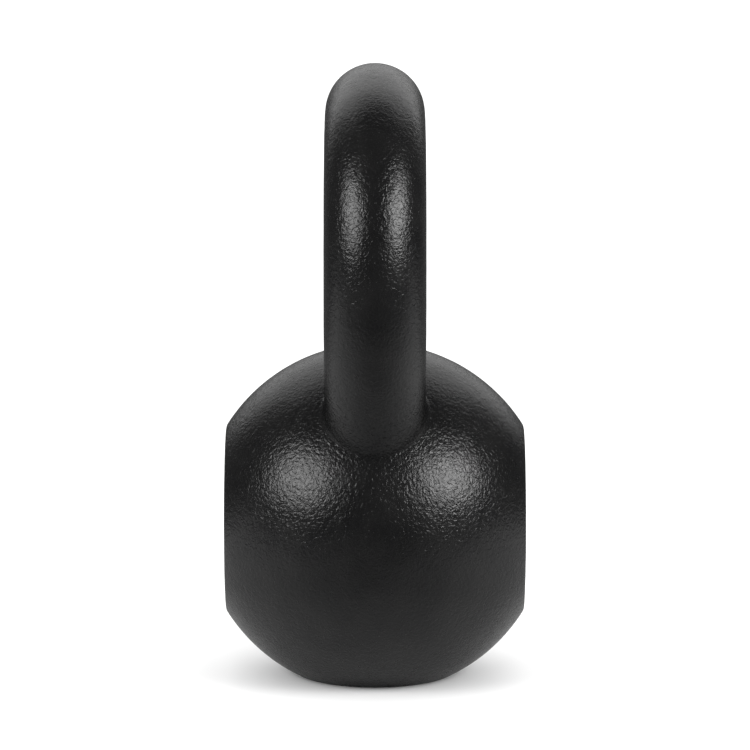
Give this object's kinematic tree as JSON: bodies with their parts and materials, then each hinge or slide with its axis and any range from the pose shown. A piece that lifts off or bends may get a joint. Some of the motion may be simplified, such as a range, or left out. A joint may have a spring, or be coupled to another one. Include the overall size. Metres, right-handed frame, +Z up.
{
  "type": "kettlebell",
  "caption": "Iron kettlebell: a ball with a flat foot and two side flats, carrying a round arched handle on two legs, with filleted leg roots and a textured satin black finish.",
  "frame": {"origin": "centre of the flat foot, on the surface that the kettlebell stands on", "axes": "+X along the grip, +Y square to the side flats, +Z up through the middle of the grip"},
  "size_m": [0.1508, 0.102, 0.2097],
  "materials": {
    "painted_iron": "satin black coat over a fine cast texture"
  },
  "bodies": {
    "root": {"bell": "painted_iron", "handle": "painted_iron", "right_root_weld": "painted_iron", "left_root_weld": "painted_iron"}
  },
  "joints": []
}
